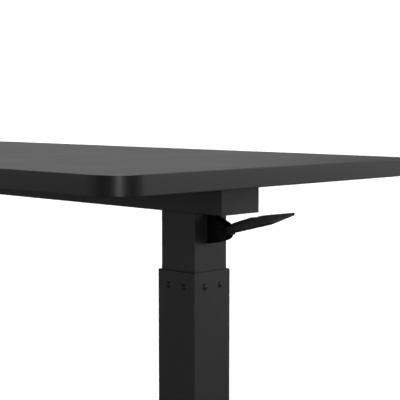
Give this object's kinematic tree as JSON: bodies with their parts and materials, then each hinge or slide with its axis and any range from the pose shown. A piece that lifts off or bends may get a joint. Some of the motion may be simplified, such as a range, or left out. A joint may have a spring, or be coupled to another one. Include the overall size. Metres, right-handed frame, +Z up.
{
  "type": "height adjustable standing desk",
  "caption": "Sit-stand desk: rounded rectangular top on a beam and telescoping square columns, with gas springs that a hand paddle under the end releases.",
  "frame": {"origin": "on the floor, under the middle of the tabletop", "axes": "+X along the desk towards the paddle end, +Y to the back edge, +Z up"},
  "size_m": [1.2, 0.6, 0.766],
  "materials": {
    "laminate": "fine-textured matt black melamine facing",
    "board": "raw particleboard",
    "edge": "satin black edge band",
    "frame_paint": "satin black powder coat",
    "black_steel": "black zinc, satin",
    "paddle_finish": "satin black powder coat on a pressed steel paddle",
    "glide_plastic": "moulded black plastic",
    "cylinder_paint": "gloss black paint",
    "bright_rod": "polished",
    "plain_steel": "turned steel, oiled",
    "nut_brass": "turned",
    "sheath_plastic": "black sheath",
    "leveller_plastic": "moulded black plastic on a steel stud"
  },
  "bodies": {
    "base": {"left_foot_beam": "frame_paint", "right_foot_beam": "frame_paint", "foot_end_caps": "glide_plastic", "left_base_plate": "frame_paint", "right_base_plate": "frame_paint", "base_bolts": "black_steel", "left_outer_tube": "frame_paint", "right_outer_tube": "frame_paint", "upper_glides": "glide_plastic", "glide_screws": "black_steel", "nut_tubes": "plain_steel", "lead_nuts": "nut_brass", "left_gas_cylinder": "cylinder_paint", "right_gas_cylinder": "cylinder_paint", "leveller_nuts": "plain_steel"},
    "top_frame": {"top_laminate": "laminate", "bottom_laminate": "laminate", "tabletop_core": "board", "edge_band": "edge", "cross_beam": "frame_paint", "beam_end_caps": "frame_paint", "left_front_arm": "frame_paint", "left_rear_arm": "frame_paint", "right_front_arm": "frame_paint", "right_rear_arm": "frame_paint", "left_inner_tube": "frame_paint", "right_inner_tube": "frame_paint", "column_heads": "frame_paint", "lever_bracket": "black_steel", "bracket_screws": "black_steel", "arm_bolts": "black_steel", "column_bolts": "black_steel", "tabletop_screws": "black_steel", "gearbox_brackets": "black_steel", "rocker_brackets": "black_steel", "sheath_clips": "black_steel", "lower_glides": "glide_plastic", "bearing_bushes": "glide_plastic", "left_gas_rod": "bright_rod", "right_gas_rod": "bright_rod", "paddle_pivot_pin": "bright_rod", "rocker_pins": "bright_rod", "wire_sheath": "sheath_plastic"},
    "shaft": {"cross_shaft": "plain_steel", "shaft_gears": "plain_steel"},
    "left_screw": {"left_lead_screw": "plain_steel", "left_screw_gear": "plain_steel"},
    "right_screw": {"right_lead_screw": "plain_steel", "right_screw_gear": "plain_steel"},
    "left_pin": {"left_release_pin": "bright_rod"},
    "right_pin": {"right_release_pin": "bright_rod"},
    "left_rocker": {"left_rocker": "black_steel"},
    "right_rocker": {"right_rocker": "black_steel"},
    "link": {"release_link": "plain_steel"},
    "wire": {"release_wire": "plain_steel"},
    "paddle": {"release_paddle": "paddle_finish"},
    "left_front_foot": {"left_front_leveller": "leveller_plastic"},
    "left_rear_foot": {"left_rear_leveller": "leveller_plastic"},
    "right_front_foot": {"right_front_leveller": "leveller_plastic"},
    "right_rear_foot": {"right_rear_leveller": "leveller_plastic"}
  },
  "joints": [
    {"name": "lift", "type": "slide", "parent": "base", "child": "top_frame", "axis": [0, 0, 1], "range_m": [-0.036, 0.364]},
    {"name": "shaft_turn", "type": "hinge", "parent": "top_frame", "child": "shaft", "pos_m": [0, 0, 0.719], "axis": [1, 0, 0], "range_deg": [-2625, 263]},
    {"name": "left_screw_turn", "type": "hinge", "parent": "top_frame", "child": "left_screw", "pos_m": [-0.409, 0, 0.719], "axis": [0, 0, 1], "range_deg": [-2625, 263]},
    {"name": "right_screw_turn", "type": "hinge", "parent": "top_frame", "child": "right_screw", "pos_m": [0.409, 0, 0.719], "axis": [0, 0, 1], "range_deg": [-263, 2625]},
    {"name": "paddle_pull", "type": "hinge", "parent": "top_frame", "child": "paddle", "pos_m": [0.485, 0, 0.673], "axis": [0, -1, 0], "range_deg": [0, 10], "stiffness_Nm_per_rad": 9, "springref_deg": -1.72},
    {"name": "link_slide", "type": "slide", "parent": "top_frame", "child": "link", "axis": [0, 0, -1], "range_m": [0, 0.0038]},
    {"name": "right_rocker_turn", "type": "hinge", "parent": "top_frame", "child": "right_rocker", "pos_m": [0.425, 0, 0.715], "axis": [0, 1, 0], "range_deg": [0, 5.6]},
    {"name": "wire_slide", "type": "slide", "parent": "top_frame", "child": "wire", "axis": [1, 0, 0], "range_m": [0, 0.0019]},
    {"name": "left_rocker_turn", "type": "hinge", "parent": "top_frame", "child": "left_rocker", "pos_m": [-0.451, 0, 0.715], "axis": [0, 1, 0], "range_deg": [0, 5.6]},
    {"name": "right_pin_slide", "type": "slide", "parent": "top_frame", "child": "right_pin", "axis": [0, 0, -1], "range_m": [0, 0.0013]},
    {"name": "left_pin_slide", "type": "slide", "parent": "top_frame", "child": "left_pin", "axis": [0, 0, -1], "range_m": [0, 0.0013]},
    {"name": "left_front_level", "type": "slide", "parent": "base", "child": "left_front_foot", "axis": [0, 0, -1], "range_m": [0, 0.01]},
    {"name": "left_rear_level", "type": "slide", "parent": "base", "child": "left_rear_foot", "axis": [0, 0, -1], "range_m": [0, 0.01]},
    {"name": "right_front_level", "type": "slide", "parent": "base", "child": "right_front_foot", "axis": [0, 0, -1], "range_m": [0, 0.01]},
    {"name": "right_rear_level", "type": "slide", "parent": "base", "child": "right_rear_foot", "axis": [0, 0, -1], "range_m": [0, 0.01]}
  ],
  "couplings": [
    {"joint": "shaft_turn", "follows": "lift", "rad_per_m": -125.66},
    {"joint": "left_screw_turn", "follows": "lift", "rad_per_m": -125.66},
    {"joint": "right_screw_turn", "follows": "lift", "rad_per_m": 125.66},
    {"joint": "link_slide", "follows": "paddle_pull", "m_per_rad": 0.0213},
    {"joint": "right_rocker_turn", "follows": "paddle_pull", "ratio": 0.55039},
    {"joint": "left_rocker_turn", "follows": "paddle_pull", "ratio": 0.55039},
    {"joint": "wire_slide", "follows": "paddle_pull", "m_per_rad": 0.010733},
    {"joint": "right_pin_slide", "follows": "paddle_pull", "m_per_rad": 0.007155},
    {"joint": "left_pin_slide", "follows": "paddle_pull", "m_per_rad": 0.007155}
  ]
}
